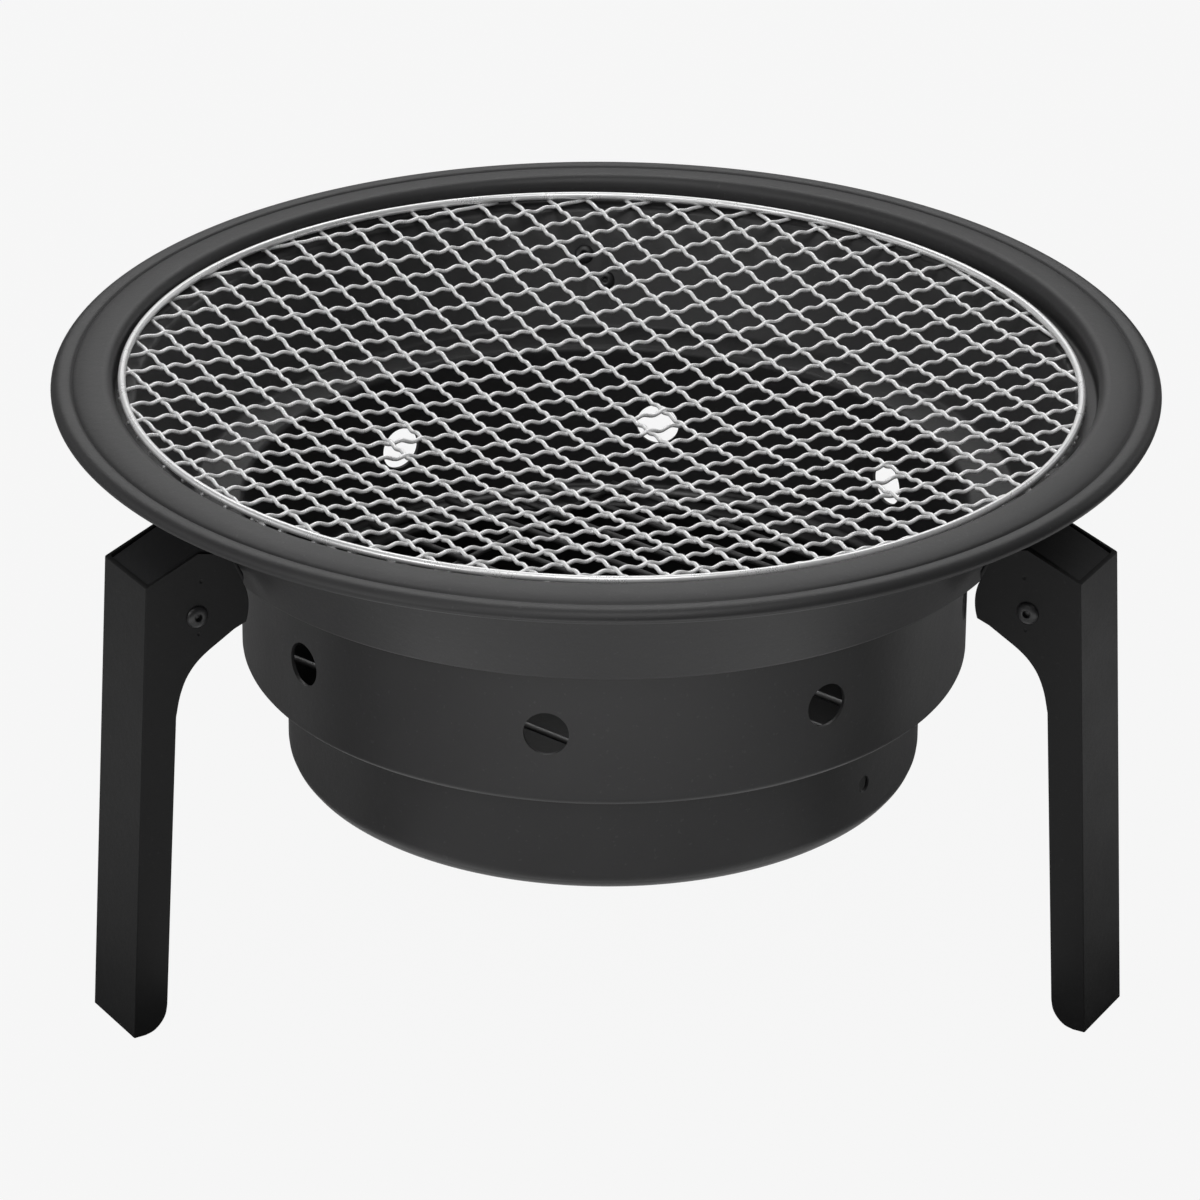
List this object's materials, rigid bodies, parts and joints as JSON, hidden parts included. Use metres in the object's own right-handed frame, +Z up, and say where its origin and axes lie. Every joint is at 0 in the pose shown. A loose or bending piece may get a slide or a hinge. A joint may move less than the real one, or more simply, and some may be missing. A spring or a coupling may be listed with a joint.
{
  "type": "portable tabletop grill",
  "caption": "Round portable charcoal grill: stepped fire bowl with air vents, lift-off woven wire cooking grate, charcoal grate and folding channel legs.",
  "frame": {"origin": "on the fire bowl's axis, at the table surface the feet stand on", "axes": "+Z up along the bowl's axis; -Y towards the front, between the two front legs; +X to the viewer's right"},
  "size_m": [0.3504, 0.3554, 0.185],
  "materials": {
    "bowl_paint": "satin black heat-resistant coating on pressed steel",
    "leg_paint": "matte black coating on bent steel sheet",
    "rivet_black": "black blind rivet, satin",
    "bright_wire": "bright plated wire",
    "dull_wire": "plain drawn wire, slightly dull"
  },
  "bodies": {
    "fire_bowl": {"fire_bowl": "bowl_paint", "bracket_rear": "leg_paint", "bracket_front_left": "leg_paint", "bracket_front_right": "leg_paint", "pivot_rivet_rear_left": "rivet_black", "pivot_rivet_rear_right": "rivet_black", "pivot_rivet_front_left_left": "rivet_black", "pivot_rivet_front_left_right": "rivet_black", "pivot_rivet_front_right_left": "rivet_black", "pivot_rivet_front_right_right": "rivet_black", "bracket_rivet_rear_upper": "rivet_black", "bracket_rivet_rear_lower": "rivet_black", "bracket_rivet_front_left_upper": "rivet_black", "bracket_rivet_front_left_lower": "rivet_black", "bracket_rivet_front_right_upper": "rivet_black", "bracket_rivet_front_right_lower": "rivet_black"},
    "leg_rear": {"leg_rear": "leg_paint"},
    "leg_front_left": {"leg_front_left": "leg_paint"},
    "leg_front_right": {"leg_front_right": "leg_paint"},
    "cooking_grate": {"grate_hoop": "bright_wire", "grate_mesh": "bright_wire"},
    "charcoal_grate": {"charcoal_ring": "dull_wire", "charcoal_bar_01": "dull_wire", "charcoal_bar_02": "dull_wire", "charcoal_bar_03": "dull_wire", "charcoal_bar_04": "dull_wire", "charcoal_bar_05": "dull_wire", "charcoal_bar_06": "dull_wire", "charcoal_bar_07": "dull_wire", "charcoal_bar_08": "dull_wire", "charcoal_bar_09": "dull_wire", "charcoal_bar_10": "dull_wire", "charcoal_bar_11": "dull_wire", "charcoal_bar_12": "dull_wire", "charcoal_tie_1": "dull_wire", "charcoal_tie_2": "dull_wire"}
  },
  "joints": [
    {"name": "leg_rear_fold", "type": "hinge", "parent": "fire_bowl", "child": "leg_rear", "pos_m": [0, 0.155, 0.141], "axis": [-1, 0, 0], "range_deg": [0, 38]},
    {"name": "leg_front_left_fold", "type": "hinge", "parent": "fire_bowl", "child": "leg_front_left", "pos_m": [-0.13423, -0.0775, 0.141], "axis": [0.5, -0.866, 0], "range_deg": [0, 38]},
    {"name": "leg_front_right_fold", "type": "hinge", "parent": "fire_bowl", "child": "leg_front_right", "pos_m": [0.13423, -0.0775, 0.141], "axis": [0.5, 0.866, 0], "range_deg": [0, 38]},
    {"name": "cooking_grate_lift", "type": "slide", "parent": "fire_bowl", "child": "cooking_grate", "axis": [0, 0, 1], "range_m": [0, 0.12]},
    {"name": "charcoal_grate_lift", "type": "slide", "parent": "fire_bowl", "child": "charcoal_grate", "axis": [0, 0, 1], "range_m": [0, 0.055]}
  ]
}
